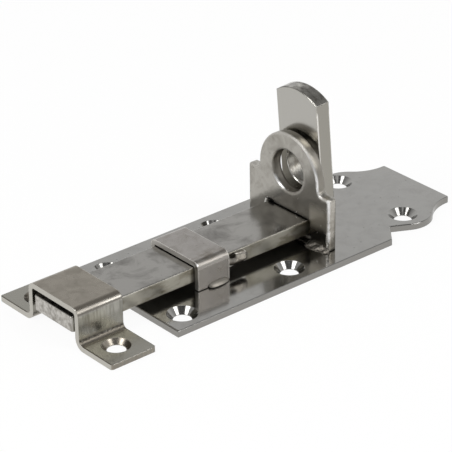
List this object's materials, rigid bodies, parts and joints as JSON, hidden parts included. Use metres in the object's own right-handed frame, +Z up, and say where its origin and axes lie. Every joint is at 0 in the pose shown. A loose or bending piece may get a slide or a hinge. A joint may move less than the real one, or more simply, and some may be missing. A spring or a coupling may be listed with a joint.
{
  "type": "padbolt",
  "caption": "Stainless padbolt: flat bolt with a bent-up handle slides in a strap on a shaped base plate, locked by a padlock through handle and lug plate, with a bent keeper.",
  "frame": {"origin": "middle of the base plate's plain front edge, on the mounting surface", "axes": "+X along the bolt from its nose towards its handle, the way it opens; +Y across the base plate, away from the travel stop; +Z up from the mounting surface"},
  "size_m": [0.1733, 0.0644, 0.0596],
  "materials": {
    "base_plate": "polished stainless steel",
    "guide_strap": "polished stainless steel",
    "weld": "rough, lightly polished weld metal",
    "lug_plate": "polished stainless steel",
    "bolt": "polished stainless steel",
    "keeper": "polished stainless steel"
  },
  "bodies": {
    "base": {"base_plate": "base_plate", "guide_strap": "guide_strap", "guide_weld_near": "weld", "guide_weld_far": "weld", "lug_plate": "lug_plate", "lug_weld_near": "weld", "lug_weld_far": "weld", "keeper": "keeper"},
    "sliding_bolt": {"bolt": "bolt", "travel_stop": "weld"}
  },
  "joints": [
    {"name": "bolt_slide", "type": "slide", "parent": "base", "child": "sliding_bolt", "axis": [1, 0, 0], "range_m": [0, 0.029]}
  ]
}
